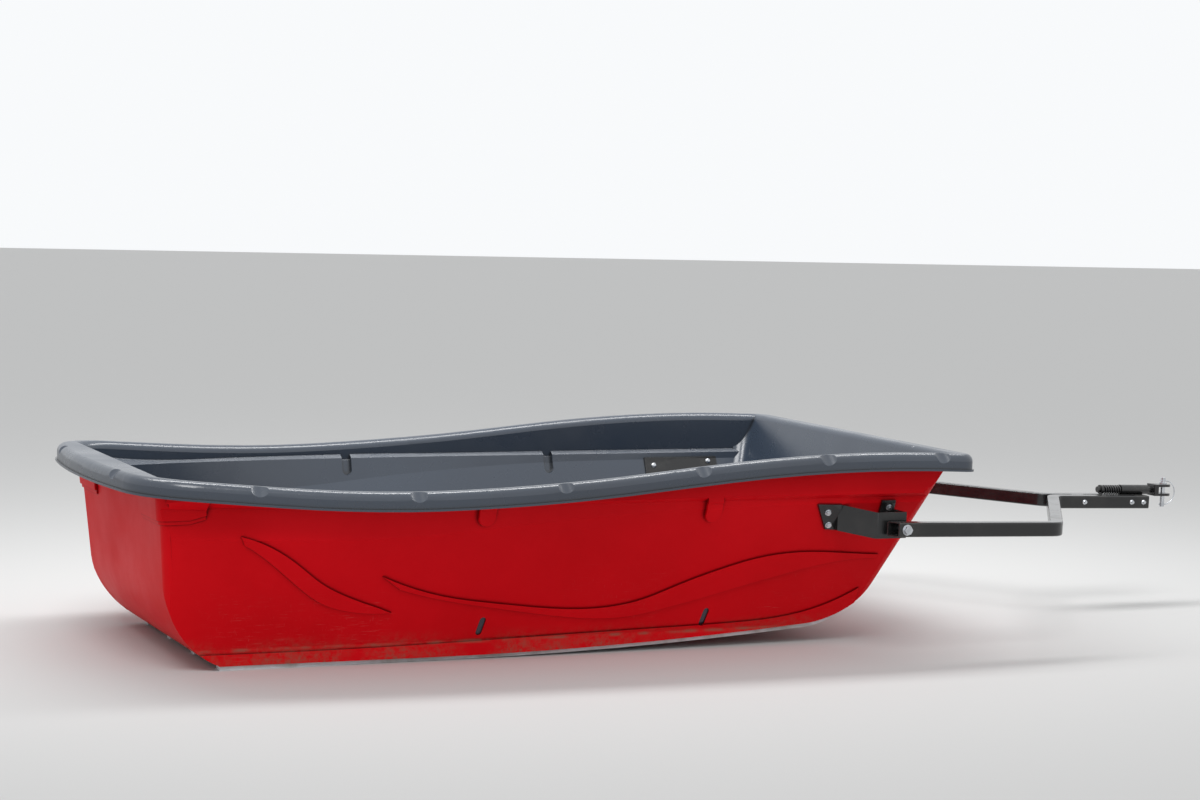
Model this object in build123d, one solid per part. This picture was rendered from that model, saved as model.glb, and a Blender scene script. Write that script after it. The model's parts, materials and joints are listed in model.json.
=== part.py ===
from build123d import *
import math
import os

# Utility sled with its own tow bar. Millimetres, +X towards the hitch, +Z up.
# Lengths count from the rear lip of the rim, and save() then centres the whole sled.

# Overall sizes
HULL_LENGTH = 2090.0
HULL_HALF_WIDTH = 548.0

# Wall of the hull, red outside and grey inside
SKIN = 3.0
LINER = 4.0

# Rim
RIM_HEIGHT = 42.0
RIM_ROUND = 18.0
RIM_HOLLOW = 20.0
RIM_SKIRT = 5.0
LIP_OUT = 4.0
LIP_THICK = 5.0
TOP_INSET = 42.0
REAR_RADIUS = 2000.0
SIDE_RADIUS = 4300.0
SIDE_STRAIGHT_X = 1000.0
REAR_CORNER = 180.0
FRONT_CORNER = 45.0
LIP_LINE = [
    (-80.0, 416.0),
    (0.0, 408.0),
    (100.0, 402.0),
    (400.0, 381.0),
    (650.0, 374.0),
    (850.0, 380.0),
    (1100.0, 396.0),
    (1350.0, 420.0),
    (1600.0, 439.0),
    (1850.0, 445.0),
    (2083.0, 438.0),
    (2160.0, 434.0),
]

# Side view of the hull
RUNNER_THICK = 10.0
TRANSOM_TOP = (94.0, 440.0)
TRANSOM_LOW = (117.0, 195.0)
TRANSOM_FOOT = (252.0, 10.0)
FLAT_END = (750.0, 10.0)
RISE_END = (1720.0, 49.0)
BOW_END = (1922.0, 196.0)
BOW_LEAN = 69.0
CUT_TOP = 640.0
CUT_MARGIN = 60.0

# Cross sections of the hull: x, chine y, crease y, crease z, y of the inner shelf's foot
CHINE_Z = 48.0
CHINE_DROP = 110.0
SHELF_FOOT_Z = 377.0
SHELF_OUT = 13.0
SHELF_RISE = 9.0
SHELF_REACH = 60.0
LOFT_SECTIONS = 20
WALL_FLARE = 0.04
STATIONS = [
    (0.0, 332.0, 332.0, 306.0, 334.0),
    (110.0, 331.0, 366.0, 306.0, 370.0),
    (300.0, 329.0, 433.0, 306.0, 436.0),
    (650.0, 340.0, 463.0, 308.0, 479.0),
    (1000.0, 347.0, 481.0, 338.0, 493.0),
    (1350.0, 349.0, 489.0, 358.0, 493.0),
    (1700.0, 349.0, 491.0, 362.0, 493.5),
    (2150.0, 349.0, 491.0, 362.0, 493.5),
]
CORNER_ROUND = 45.0
BOW_CREASE_LOW = (1922.0, 416.0, 196.0)
BOW_CREASE_HIGH = (1985.7, 490.8, 362.0)
BOW_ROUND_LENGTH = 520.0
TRANSOM_CREASE_LOW = (117.0, 352.0, 195.0)
TRANSOM_CREASE_HIGH = (106.5, 364.5, 306.0)
TRANSOM_ROUND = 26.0
TRANSOM_TURN = 0.33
TRANSOM_FLARE = 0.14

# Moulded shapes that stand out of the side, as points (x, z) of the side view
SWOOSH_PROUD = 4.5
SWOOSH_UPPER = [(600.0, 214.0), (673.0, 184.0), (755.0, 160.0), (905.0, 135.0), (1070.0, 116.0), (1168.0, 116.0),
                (1263.0, 133.0), (1355.0, 169.0), (1448.0, 202.0), (1543.0, 228.0), (1662.0, 240.0),
                (1769.0, 235.0), (1878.0, 227.0)]
SWOOSH_LOWER = [(648.0, 180.0), (777.0, 146.0), (908.0, 122.0), (1041.0, 100.0), (1141.0, 89.0), (1242.0, 91.0),
                (1337.0, 110.0), (1432.0, 133.0), (1527.0, 159.0), (1611.0, 180.0), (1709.0, 203.0),
                (1811.0, 217.0), (1874.0, 217.0)]
LEAF_UPPER = [(266.0, 315.0), (338.0, 287.0), (401.0, 246.0), (460.0, 201.0), (523.0, 168.0), (601.0, 138.0)]
LEAF_LOWER = [(275.0, 295.0), (344.0, 247.0), (410.0, 192.0), (475.0, 149.0), (544.0, 129.0), (637.0, 123.0)]
BAND_PROUD = 4.0
BAND_LINE = [(-60.0, 44.0), (850.0, 44.0), (1150.0, 52.0), (1500.0, 60.0), (1720.0, 84.0), (1850.0, 140.0)]
BOSS_PROUD = 11.0
BOSS_WIDTH = 40.0
BOSSES = [(820.0, 331.0, 392.0), (1391.0, 326.0, 392.0)]
SLOT_WIDTH = 15.0
SLOT_LEAN = 8.0
SLOTS = [(864.0, 58.0, 103.0), (1441.0, 56.0, 102.0)]

# Moulded lamp shape round the rear corners: its side view, how far in it reaches
LAMP_PROUD = 8.0
LAMP_LIP = 4.0
LAMP_SIDE = [(30.0, 430.0), (190.0, 430.0), (192.0, 352.0), (160.0, 341.0), (125.0, 338.0), (30.0, 334.0)]
LAMP_INNER_Y = 205.0

# Scallops in the shoulder of the rim
DIMPLE_X = [290.0, 642.0, 990.0, 1337.0, 1668.0, 1986.0]
DIMPLE_REAR_Y = 253.0
DIMPLE_RADIUS = 30.0
DIMPLE_DEPTH = 8.0

# Runner strips under the hull, each as its rear y and its front y
RUNNERS = [(-310.0, -334.0), (-103.0, -110.0), (103.0, 110.0), (310.0, 334.0)]
RUNNER_WIDTH = 28.0
RUNNER_REAR = 253.0
RUNNER_FRONT = 1885.0

# Hitch brackets on the sides of the bow, with backing plates inside the tub
BRACKET_THICK = 5.0
BRACKET_OUT = 549.0
BRACKET_SIDE = [(1670.0, 362.0), (1732.0, 360.0), (1804.0, 346.0), (1886.0, 346.0), (1886.0, 283.0),
                (1800.0, 283.0), (1732.0, 296.0), (1707.0, 298.0)]
BRACKET_HEEL_X = 1732.0
BRACKET_FACE_X = 1806.0
BRACKET_END_X = 1884.0
FRONT_FLANGE = (1846.0, 1884.0, 310.0, 368.0)
BACKING = (1676.0, 1894.0, 300.0, 369.0)
BACKING_THICK = 4.0
FLANGE_BOLTS = [(1701.0, 344.0), (1711.0, 312.0), (1868.0, 353.0)]
FLANGE_BOLT = 8.0
PIVOT_X = 1862.0
PIVOT_Z = 308.0
PIVOT_BOLT = 12.0
PIVOT_FIT = 0.1
WALL_LEAN = 24.2

# Tow bar of two bent tubes
TUBE_TALL = 35.0
TUBE_WIDE = 32.0
TUBE_WALL = 2.5
BAR_GAP = 8.0
BAR_Y = BRACKET_OUT + BAR_GAP + TUBE_WIDE / 2.0
BAR_TAIL = 36.0
BAR_SLANT = 15.0
BEND_X = 2300.0
TONGUE_X = 2668.0
TONGUE_END = 2975.0
TONGUE_GAP = 10.0
TONGUE_Y = (TONGUE_GAP + TUBE_WIDE) / 2.0
BAR_DROP = 1.4
BEND_RADIUS = 40.0
TONGUE_BOLTS = [2762.0, 2918.0, 2957.0]
BOLT_DIA = 8.0
BOLT_FIT = 0.1
BOLT_HEAD = 8.0

# Coupler on the tongue
SLEEVE_DIA = 27.0
SLEEVE_BORE = 16.2
SLEEVE_START = 2900.0
SLEEVE_LENGTH = 90.0
ROD_DIA = 16.0
SPRING_LENGTH = 58.0
SPRING_DIA = 25.0
SPRING_WIRE = 4.0
SPRING_TURNS = 7
COLLAR_THICK = 8.0
COUPLER_RISE = TUBE_TALL / 2.0 + SLEEVE_DIA / 2.0
CLEVIS_START = 3006.0
CLEVIS_LENGTH = 60.0
CLEVIS_TALL = 32.0
CLEVIS_WIDE = 38.0
CLEVIS_PLATE = 7.0
HITCH_PIN_X = 3046.0
HITCH_PIN = 12.7
PIN_HEAD = 4.0
PIN_BOSS = 14.0
PIN_TIP = 47.0
CLIP_WIRE = 3.0
CLIP_TOP = 25.0
CLIP_LOW = -41.0
CLIP_END = 10.0


def arc_middle(centre, start, end):
    """Return the point half way along the short arc from start to end."""
    radius = math.dist(centre, start)
    mid_x = (start[0] + end[0]) / 2.0 - centre[0]
    mid_y = (start[1] + end[1]) / 2.0 - centre[1]
    size = math.hypot(mid_x, mid_y)
    return (centre[0] + mid_x * radius / size, centre[1] + mid_y * radius / size)


def circle_meeting(first, first_radius, second, second_radius):
    """Return the crossing of two circles that lies at the rear and on the left."""
    gap = math.dist(first, second)
    along = (first_radius**2 - second_radius**2 + gap**2) / (2.0 * gap)
    high = math.sqrt(first_radius**2 - along**2)
    step_x = (second[0] - first[0]) / gap
    step_y = (second[1] - first[1]) / gap
    base = (first[0] + along * step_x, first[1] + along * step_y)
    one = (base[0] - high * step_y, base[1] + high * step_x)
    two = (base[0] + high * step_y, base[1] - high * step_x)
    return one if one[1] > two[1] else two


def plan_outline():
    """Return the face that the lip of the rim encloses, seen from above."""
    side = (SIDE_STRAIGHT_X, HULL_HALF_WIDTH - SIDE_RADIUS)
    rear = (REAR_RADIUS, 0.0)
    corner = circle_meeting(side, SIDE_RADIUS - REAR_CORNER, rear, REAR_RADIUS - REAR_CORNER)
    side_scale = SIDE_RADIUS / (SIDE_RADIUS - REAR_CORNER)
    rear_scale = REAR_RADIUS / (REAR_RADIUS - REAR_CORNER)
    side_end = (side[0] + (corner[0] - side[0]) * side_scale, side[1] + (corner[1] - side[1]) * side_scale)
    rear_end = (rear[0] + (corner[0] - rear[0]) * rear_scale, rear[1] + (corner[1] - rear[1]) * rear_scale)
    straight_end = (SIDE_STRAIGHT_X, HULL_HALF_WIDTH)
    front_side = (HULL_LENGTH - FRONT_CORNER, HULL_HALF_WIDTH)
    front_end = (HULL_LENGTH, HULL_HALF_WIDTH - FRONT_CORNER)
    front_centre = (HULL_LENGTH - FRONT_CORNER, HULL_HALF_WIDTH - FRONT_CORNER)
    half = [
        Line((HULL_LENGTH, 0.0), front_end),
        ThreePointArc(front_end, arc_middle(front_centre, front_end, front_side), front_side),
        Line(front_side, straight_end),
        ThreePointArc(straight_end, arc_middle(side, straight_end, side_end), side_end),
        ThreePointArc(side_end, arc_middle(corner, side_end, rear_end), rear_end),
        ThreePointArc(rear_end, arc_middle(rear, rear_end, (0.0, 0.0)), (0.0, 0.0)),
    ]
    other = [edge.mirror(Plane.XZ) for edge in half]
    return make_face(half + other)


def plan_prism(inset, low=-50.0, high=CUT_TOP):
    """Return the plan outline, drawn in by inset, as an upright block."""
    face = plan_outline()
    if inset:
        face = offset(face, amount=-inset)
    block = extrude(face, amount=high - low, dir=(0, 0, 1))
    return block.moved(Location((0, 0, low)))


def side_prism(inset):
    """Return the side view of the hull, drawn in by inset, as a block across it."""
    run = CUT_TOP - BOW_END[1]
    bow_top = (BOW_END[0] + run / math.tan(math.radians(BOW_LEAN)), CUT_TOP)
    rake = (TRANSOM_TOP[0] - TRANSOM_LOW[0]) / (TRANSOM_TOP[1] - TRANSOM_LOW[1])
    rear_top = (TRANSOM_TOP[0] + rake * (CUT_TOP - TRANSOM_TOP[1]), CUT_TOP)
    floor = Line(TRANSOM_FOOT, FLAT_END)
    rise = TangentArc(FLAT_END, RISE_END, tangent=(1, 0))
    bow = TangentArc(RISE_END, BOW_END, tangent=rise % 1)
    front = Line(BOW_END, bow_top)
    top = Line(bow_top, rear_top)
    transom = Line(rear_top, TRANSOM_LOW)
    heel = TangentArc(TRANSOM_LOW, TRANSOM_FOOT, tangent=transom % 1)
    face = make_face([floor, rise, bow, front, top, transom, heel])
    if inset:
        face = offset(face, amount=-inset, kind=Kind.INTERSECTION)
    upright = Plane.XZ * face
    return extrude(upright, amount=700.0, both=True)


def station_slope(index, value):
    """Return how fast one value of the cross sections changes along the hull at a station."""
    before = STATIONS[max(index - 1, 0)]
    after = STATIONS[min(index + 1, len(STATIONS) - 1)]
    return (after[value] - before[value]) / (after[0] - before[0])


def section_at(at_x):
    """Return the values of the cross section at a length, on smooth curves through the stations."""
    index = max(i for i in range(len(STATIONS) - 1) if STATIONS[i][0] <= at_x)
    before, after = STATIONS[index], STATIONS[index + 1]
    run = after[0] - before[0]
    t = (at_x - before[0]) / run
    values = [at_x]
    for value in range(1, len(before)):
        ends = (2 * t**3 - 3 * t**2 + 1) * before[value] + (3 * t**2 - 2 * t**3) * after[value]
        start_slope = station_slope(index, value)
        end_slope = station_slope(index + 1, value)
        values.append(ends + run * ((t**3 - 2 * t**2 + t) * start_slope + (t**3 - t**2) * end_slope))
    return values


def section_points(station):
    """Return the corners of one cross section, left half first, as (y, z)."""
    _, chine_y, crease_y, crease_z, shelf_y = station
    beyond_y = shelf_y + SHELF_REACH
    left = [
        (chine_y - 10.0, CHINE_Z - CHINE_DROP),
        (chine_y, CHINE_Z),
        (crease_y, crease_z),
        (shelf_y, SHELF_FOOT_Z),
        (beyond_y, SHELF_FOOT_Z + SHELF_REACH * SHELF_RISE / SHELF_OUT),
        (beyond_y + CUT_MARGIN * WALL_FLARE, CUT_TOP + CUT_MARGIN),
    ]
    right = [(-y, z) for y, z in reversed(left)]
    return left + right


def draw_in(points, inset):
    """Return a closed ring of points with every side moved inwards."""
    count = len(points)
    area = sum(points[i][0] * points[(i + 1) % count][1] - points[(i + 1) % count][0] * points[i][1]
               for i in range(count))
    turn = 1.0 if area > 0 else -1.0
    moved = []
    for i in range(count):
        before, here, after = points[i - 1], points[i], points[(i + 1) % count]
        one = (here[0] - before[0], here[1] - before[1])
        two = (after[0] - here[0], after[1] - here[1])
        one_size, two_size = math.hypot(*one), math.hypot(*two)
        normal_one = (-one[1] / one_size * turn, one[0] / one_size * turn)
        normal_two = (-two[1] / two_size * turn, two[0] / two_size * turn)
        dot = normal_one[0] * normal_two[0] + normal_one[1] * normal_two[1]
        scale = inset / (1.0 + dot)
        moved.append((here[0] + (normal_one[0] + normal_two[0]) * scale,
                      here[1] + (normal_one[1] + normal_two[1]) * scale))
    return moved


def flared_body(inset):
    """Return the flared sides of the hull as one loft through evenly spaced cross sections."""
    wires = []
    for index in range(LOFT_SECTIONS):
        at_x = STATIONS[-1][0] * index / (LOFT_SECTIONS - 1)
        points = section_points(section_at(at_x))
        if inset:
            points = draw_in(points, inset)
        wires.append(Wire.make_polygon([Vector(at_x, y, z) for y, z in points], close=True))
    return Part() + Solid.make_loft(wires, ruled=False)


def corner_cut(low, high, face_out, side_out, radius, inset):
    """Return the sliver outside the round between an end face and the left side.

    low and high are points on the crease, face_out and side_out the outward directions beside it.
    """
    low = Vector(*low)
    along = (Vector(*high) - low).normalized()
    face_out = (face_out - along * face_out.dot(along)).normalized()
    side_out = (side_out - along * side_out.dot(along)).normalized()
    out = (face_out + side_out).normalized()
    half = math.acos(face_out.dot(out))
    centre = low - out * (radius / math.cos(half))
    plane = Plane(origin=centre - along * 120.0, x_dir=out, z_dir=along)
    size = radius - inset
    touch = (size * math.cos(half), size * math.sin(half))
    clear = ((size + 12.0) * math.cos(half), (size + 12.0) * math.sin(half))
    tip = (size / math.cos(half) + 16.0, 0.0)
    sliver = make_face([
        Line(touch, clear),
        Line(clear, tip),
        Line(tip, (clear[0], -clear[1])),
        Line((clear[0], -clear[1]), (touch[0], -touch[1])),
        ThreePointArc((touch[0], -touch[1]), (size, 0.0), touch),
    ])
    return extrude(plane * sliver, amount=BOW_ROUND_LENGTH, dir=along)


def corner_cuts(inset):
    """Return the slivers outside the rounds at the bow's and the transom's left corners."""
    lean = math.radians(BOW_LEAN)
    bow_out = Vector(math.sin(lean), 0, -math.cos(lean))
    flare = math.radians(WALL_LEAN)
    side_out = Vector(0.03, math.cos(flare), -math.sin(flare))
    bow = corner_cut(BOW_CREASE_LOW, BOW_CREASE_HIGH, bow_out, side_out, CORNER_ROUND, inset)
    rake_x, rake_z = TRANSOM_TOP[0] - TRANSOM_LOW[0], TRANSOM_TOP[1] - TRANSOM_LOW[1]
    rear_out = Vector(-rake_z, 0, rake_x).normalized()
    turned_out = Vector(-TRANSOM_TURN, 1.0, -TRANSOM_FLARE).normalized()
    rear = corner_cut(TRANSOM_CREASE_LOW, TRANSOM_CREASE_HIGH, rear_out, turned_out, TRANSOM_ROUND, inset)
    return [bow, rear]


def hull_block(inset):
    """Return the solid that the hull's wall encloses at this depth, without the bosses under the ledge."""
    block = flared_body(inset)
    block = block & side_prism(inset)
    block = block & plan_prism(TOP_INSET + inset)
    left = corner_cuts(inset)
    return block - left - [sliver.mirror(Plane.XZ) for sliver in left]


def boss_blocks(inset):
    """Return the bosses under the shelf at this depth of the wall, each right across the hull."""
    reach = plan_prism(TOP_INSET + inset)
    blocks = []
    for mid_x, foot_z, top_z in BOSSES:
        points = draw_in(section_points(section_at(mid_x)), inset - BOSS_PROUD)
        start = Plane(origin=(mid_x - BOSS_WIDTH, 0, 0), x_dir=(0, 1, 0), z_dir=(1, 0, 0))
        proud = extrude(start * make_face(Polyline(points, close=True)), amount=2.0 * BOSS_WIDTH, dir=(1, 0, 0))
        region = column((mid_x, foot_z + inset, top_z), BOSS_WIDTH - 2.0 * inset)
        blocks.append(proud & region & reach)
    return blocks


def sheer_prism(low, high):
    """Return the band between two copies of the lip line, right across the hull."""
    lower = Spline([(x, z + low) for x, z in LIP_LINE])
    upper = Spline([(x, z + high) for x, z in LIP_LINE])
    rear = Line(lower @ 0, upper @ 0)
    front = Line(lower @ 1, upper @ 1)
    face = Plane.XZ * make_face([lower, upper, rear, front])
    return extrude(face, amount=700.0, both=True)


def side_region(edges):
    """Return the block right across the hull behind a closed outline of the side view."""
    return extrude(Plane.XZ * make_face(edges), amount=700.0, both=True)


def between_curves(upper, lower):
    """Return the side region between two curves that run the same way."""
    over, under = Spline(upper), Spline(lower)
    return side_region([over, under, Line(over @ 0, under @ 0), Line(over @ 1, under @ 1)])


def column(place, width):
    """Return the side region of a hanging column with a round foot: place is x, foot z, top z."""
    mid_x, foot_z, top_z = place
    half = width / 2.0
    low, foot = foot_z + half, (mid_x, foot_z)
    return side_region([
        Line((mid_x + half, low), (mid_x + half, top_z)),
        Line((mid_x + half, top_z), (mid_x - half, top_z)),
        Line((mid_x - half, top_z), (mid_x - half, low)),
        ThreePointArc((mid_x - half, low), foot, (mid_x + half, low)),
    ])


def slot_region(slot):
    """Return the side region of one leaning slot with round ends."""
    slot_x, low_z, high_z = slot
    length = high_z - low_z
    outline = SlotOverall(length, SLOT_WIDTH, rotation=90.0 - SLOT_LEAN)
    block = extrude(Plane.XZ * outline, amount=700.0, both=True)
    return block.moved(Location((slot_x, 0, (low_z + high_z) / 2.0)))


def lamp_region(low_drop):
    """Return the region of the lamp shapes, its foot raised by low_drop, without the middle of the transom."""
    points = [(x, z if z > 400.0 else z + low_drop) for x, z in LAMP_SIDE]
    block = side_region(Polyline(points, close=True))
    return block - Box(1000.0, 2.0 * LAMP_INNER_Y, 1000.0)


def raised_shapes(outer):
    """Return the outside of the hull with the shapes that are moulded on it."""
    swoosh = flared_body(-SWOOSH_PROUD)
    band = between_curves(BAND_LINE, [(x, z - 120.0) for x, z in BAND_LINE])
    shapes = boss_blocks(0.0)
    shapes.append(swoosh & between_curves(SWOOSH_UPPER, SWOOSH_LOWER))
    shapes.append(swoosh & between_curves(LEAF_UPPER, LEAF_LOWER))
    shapes.append(flared_body(-BAND_PROUD) & band & side_prism(0.0))
    shapes.append(hull_block(-LAMP_LIP) & lamp_region(0.0))
    shapes.append(hull_block(-LAMP_PROUD) & lamp_region(9.0))
    return outer + shapes


def make_skin(outer, middle):
    """Return the red outer shell of the hull, with its moulded shapes, slots and bolt holes."""
    above = sheer_prism(RIM_HEIGHT - RIM_HOLLOW, CUT_TOP)
    slots = [slot_region(slot) for slot in SLOTS]
    return raised_shapes(outer) - [middle, above] - boss_blocks(SKIN) - slots - flange_holes()


def make_liner(middle, inner):
    """Return the grey inner shell of the tub, up to the height where the rim sits on it."""
    above = sheer_prism(RIM_HEIGHT - RIM_HOLLOW, CUT_TOP)
    return middle + boss_blocks(SKIN) - [inner, above] - boss_blocks(SKIN + LINER) - flange_holes()


def rim_top_edges(ring):
    """Return the long edges round the top of the rim, without those on the centre plane."""
    tops = [face for face in ring.faces() if face.normal_at().Z > 0.5]
    edges = []
    for face in tops:
        for edge in face.edges():
            on_centre = abs(edge.center().Y) < 0.1 and edge.bounding_box().size.Y < 0.1
            if not on_centre:
                edges.append(edge)
    return edges


def lip_height(at_x):
    """Return the height of the lip line at a length."""
    for (low_x, low_z), (high_x, high_z) in zip(LIP_LINE, LIP_LINE[1:]):
        if at_x <= high_x:
            return low_z + (high_z - low_z) * (at_x - low_x) / (high_x - low_x)
    return LIP_LINE[-1][1]


def dimple_cutter(at_x, at_y, heading):
    """Return the rod that scoops one scallop out of the rim's shoulder, outwards at a heading."""
    outwards = Vector(math.cos(heading), math.sin(heading), 0)
    reach = (RIM_ROUND + DIMPLE_RADIUS - DIMPLE_DEPTH) * math.sqrt(0.5)
    shoulder = Vector(at_x, at_y, lip_height(at_x) + RIM_HEIGHT) - outwards * RIM_ROUND - Vector(0, 0, RIM_ROUND)
    centre = shoulder + outwards * reach + Vector(0, 0, reach)
    rod = Cylinder(DIMPLE_RADIUS, 120.0)
    return Plane(origin=centre, z_dir=outwards - Vector(0, 0, 1)) * rod


def dimple_cutters():
    """Return the rods of the scallops along the left side and of the rear one on the left."""
    rods = []
    for at_x in DIMPLE_X:
        sag = max(0.0, SIDE_STRAIGHT_X - at_x)
        drop = SIDE_RADIUS - math.sqrt(SIDE_RADIUS**2 - sag**2)
        heading = math.atan2(math.sqrt(SIDE_RADIUS**2 - sag**2), -sag)
        rods.append(dimple_cutter(at_x, HULL_HALF_WIDTH - LIP_OUT - drop, heading))
    angle = math.asin(DIMPLE_REAR_Y / REAR_RADIUS)
    rear_x = REAR_RADIUS - (REAR_RADIUS - LIP_OUT) * math.cos(angle)
    rods.append(dimple_cutter(rear_x, DIMPLE_REAR_Y, math.pi - angle))
    return rods


def make_rim(inner):
    """Return the rolled rim with its scallops, its skirt and the flange at the skirt's foot."""
    depth = SKIN + LINER
    cap = plan_prism(LIP_OUT) & sheer_prism(0.0, RIM_HEIGHT)
    ring = cap - (plan_prism(TOP_INSET + depth) & side_prism(depth))
    ring = fillet(rim_top_edges(ring), radius=RIM_ROUND)
    foot = (plan_prism(LIP_OUT) & sheer_prism(0.0, RIM_HEIGHT - RIM_HOLLOW)) - inner - boss_blocks(depth)
    ring = ring + foot
    rods = dimple_cutters()
    ring = ring - rods - [rod.mirror(Plane.XZ) for rod in rods]
    lip = (plan_prism(0.0) & sheer_prism(0.0, LIP_THICK)) - inner
    hollow = plan_prism(LIP_OUT + RIM_SKIRT) & sheer_prism(-10.0, RIM_HEIGHT - RIM_HOLLOW)
    return ring + lip - hollow


def make_runner(ends, below):
    """Return one wear strip under the hull, between its rear and front place."""
    rear_y, front_y = ends
    half = RUNNER_WIDTH / 2.0
    face = make_face(Polyline(
        [(RUNNER_REAR, rear_y - half), (RUNNER_FRONT, front_y - half),
         (RUNNER_FRONT, front_y + half), (RUNNER_REAR, rear_y + half)], close=True))
    slab = extrude(face, amount=500.0, dir=(0, 0, 1)).moved(Location((0, 0, -100.0)))
    return slab & below


def wall_y(wall_z):
    """Return how far out the leaning side wall stands beside the bow."""
    rear, front = STATIONS[-2], STATIONS[-1]
    chine_y = (rear[1] + front[1]) / 2.0
    knuckle_y = (rear[2] + front[2]) / 2.0
    knuckle_z = (rear[3] + front[3]) / 2.0
    return chine_y + (knuckle_y - chine_y) * (wall_z - CHINE_Z) / (knuckle_z - CHINE_Z)


def along_bolt(shape, bolt):
    """Stand a shape that was made along +Z on the left wall, pointing outwards."""
    bolt_x, bolt_z = bolt
    turned = shape.rotate(Axis.X, -90.0 - WALL_LEAN)
    return turned.moved(Location((bolt_x, wall_y(bolt_z), bolt_z)))


def flange_holes():
    """Return the rods of the flange bolts' clearance holes, left and right."""
    left = [along_bolt(Cylinder((FLANGE_BOLT + 0.2) / 2.0, 60.0), bolt) for bolt in FLANGE_BOLTS]
    return left + [rod.mirror(Plane.XZ) for rod in left]


def make_flange_bolt(bolt):
    """Return one bolt through a bracket, the wall and the backing plate on the left."""
    inside = SKIN + LINER + BACKING_THICK
    outside = BRACKET_THICK
    bottom = (Align.CENTER, Align.CENTER, Align.MIN)
    shank = Cylinder(FLANGE_BOLT / 2.0, inside + outside + 14.0, align=bottom)
    shank = shank.moved(Location((0, 0, -inside - 6.0)))
    head = extrude(RegularPolygon(FLANGE_BOLT * 0.9, 6), amount=5.5)
    head = head + Cylinder(FLANGE_BOLT, 1.2, align=bottom)
    outer = head.moved(Location((0, 0, outside + 0.6)))
    dome = Sphere(FLANGE_BOLT) & Box(40.0, 40.0, 6.0, align=bottom).moved(Location((0, 0, 2.5)))
    inner = dome.moved(Location((0, 0, -2.5))).rotate(Axis.X, 180.0)
    inner = inner.moved(Location((0, 0, -inside - 0.6)))
    return along_bolt(shank + outer + inner, bolt)


def wall_patch(outside, inside, region):
    """Return the piece between two depths of the hull wall over a region of the left side."""
    low_x, high_x, low_z, high_z = region
    block = Box(high_x - low_x, 400.0, high_z - low_z, align=(Align.MIN, Align.MIN, Align.MIN))
    return (outside & block.moved(Location((low_x, 250.0, low_z)))) - inside


def bracket_side():
    """Return the side view of a bracket as a block across the left half."""
    face = Plane.XZ * make_face(Polyline(BRACKET_SIDE, close=True))
    return extrude(face, amount=700.0, both=True)


def bracket_strip(depth):
    """Return the bent strip of a left bracket, seen from above, its skin moved in by depth."""
    out = BRACKET_OUT - depth
    points = [
        (BRACKET_HEEL_X + depth * 0.7, 380.0),
        (BRACKET_HEEL_X + depth * 0.7, wall_y(330.0) + 6.0 - depth),
        (BRACKET_FACE_X + depth * 0.5, out),
        (BRACKET_END_X - depth, out),
        (BRACKET_END_X - depth, 380.0),
    ]
    block = extrude(make_face(Polyline(points, close=True)), amount=200.0, dir=(0, 0, 1))
    return block.moved(Location((0, 0, 220.0)))


def make_bracket(outer, proud):
    """Return the left hitch bracket with its bolt holes."""
    strip = (bracket_strip(0.0) - bracket_strip(BRACKET_THICK)) & bracket_side()
    rear = wall_patch(proud, outer, (1660.0, BRACKET_HEEL_X + 6.0, 280.0, 370.0)) & bracket_side()
    front = wall_patch(proud, outer, FRONT_FLANGE)
    hole = Cylinder((PIVOT_BOLT + PIVOT_FIT) / 2.0, 80.0).rotate(Axis.X, 90.0)
    hole = hole.moved(Location((PIVOT_X, BRACKET_OUT, PIVOT_Z)))
    return (strip + rear + front) - [outer, hole] - flange_holes()


def build_hull():
    """Build the shells, the rim, the runner strips, the brackets and their backing plates."""
    outer = hull_block(0.0)
    middle = hull_block(SKIN)
    inner = hull_block(SKIN + LINER)
    lining = hull_block(SKIN + LINER + BACKING_THICK)
    proud = hull_block(-BRACKET_THICK)
    pieces = {"hull_skin": make_skin(outer, middle), "hull_liner": make_liner(middle, inner)}
    pieces["hull_rim"] = make_rim(inner)
    below = side_prism(-RUNNER_THICK) - side_prism(0.0)
    for index, ends in enumerate(RUNNERS):
        pieces["runner_%d" % (index + 1)] = make_runner(ends, below)
    bracket = make_bracket(outer, proud)
    bolts = [make_flange_bolt(bolt) for bolt in FLANGE_BOLTS]
    bracket = bracket - bolts
    backing = wall_patch(inner, lining, BACKING) - flange_holes() - bolts
    pieces["bracket_left"] = bracket
    pieces["bracket_right"] = bracket.mirror(Plane.XZ)
    pieces["backing_left"] = backing
    pieces["backing_right"] = backing.mirror(Plane.XZ)
    for index, fixing in enumerate(bolts):
        pieces["flange_bolt_left_%d" % (index + 1)] = fixing
        pieces["flange_bolt_right_%d" % (index + 1)] = fixing.mirror(Plane.XZ)
    return pieces


def bar_path(side):
    """Return the centre line of one tow bar tube at its own side."""
    return [
        Vector(PIVOT_X - BAR_TAIL, side * BAR_Y, 0.0),
        Vector(BEND_X, side * BAR_Y, 0.0),
        Vector(TONGUE_X, side * TONGUE_Y, 0.0),
        Vector(TONGUE_END, side * TONGUE_Y, 0.0),
    ]


def pitch_bar(shape):
    """Lean a bar piece down to its parked angle about the pivot."""
    axis = Axis((PIVOT_X, 0, PIVOT_Z), (0, 1, 0))
    return shape.moved(Location((0, 0, PIVOT_Z))).rotate(axis, BAR_DROP)


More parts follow.
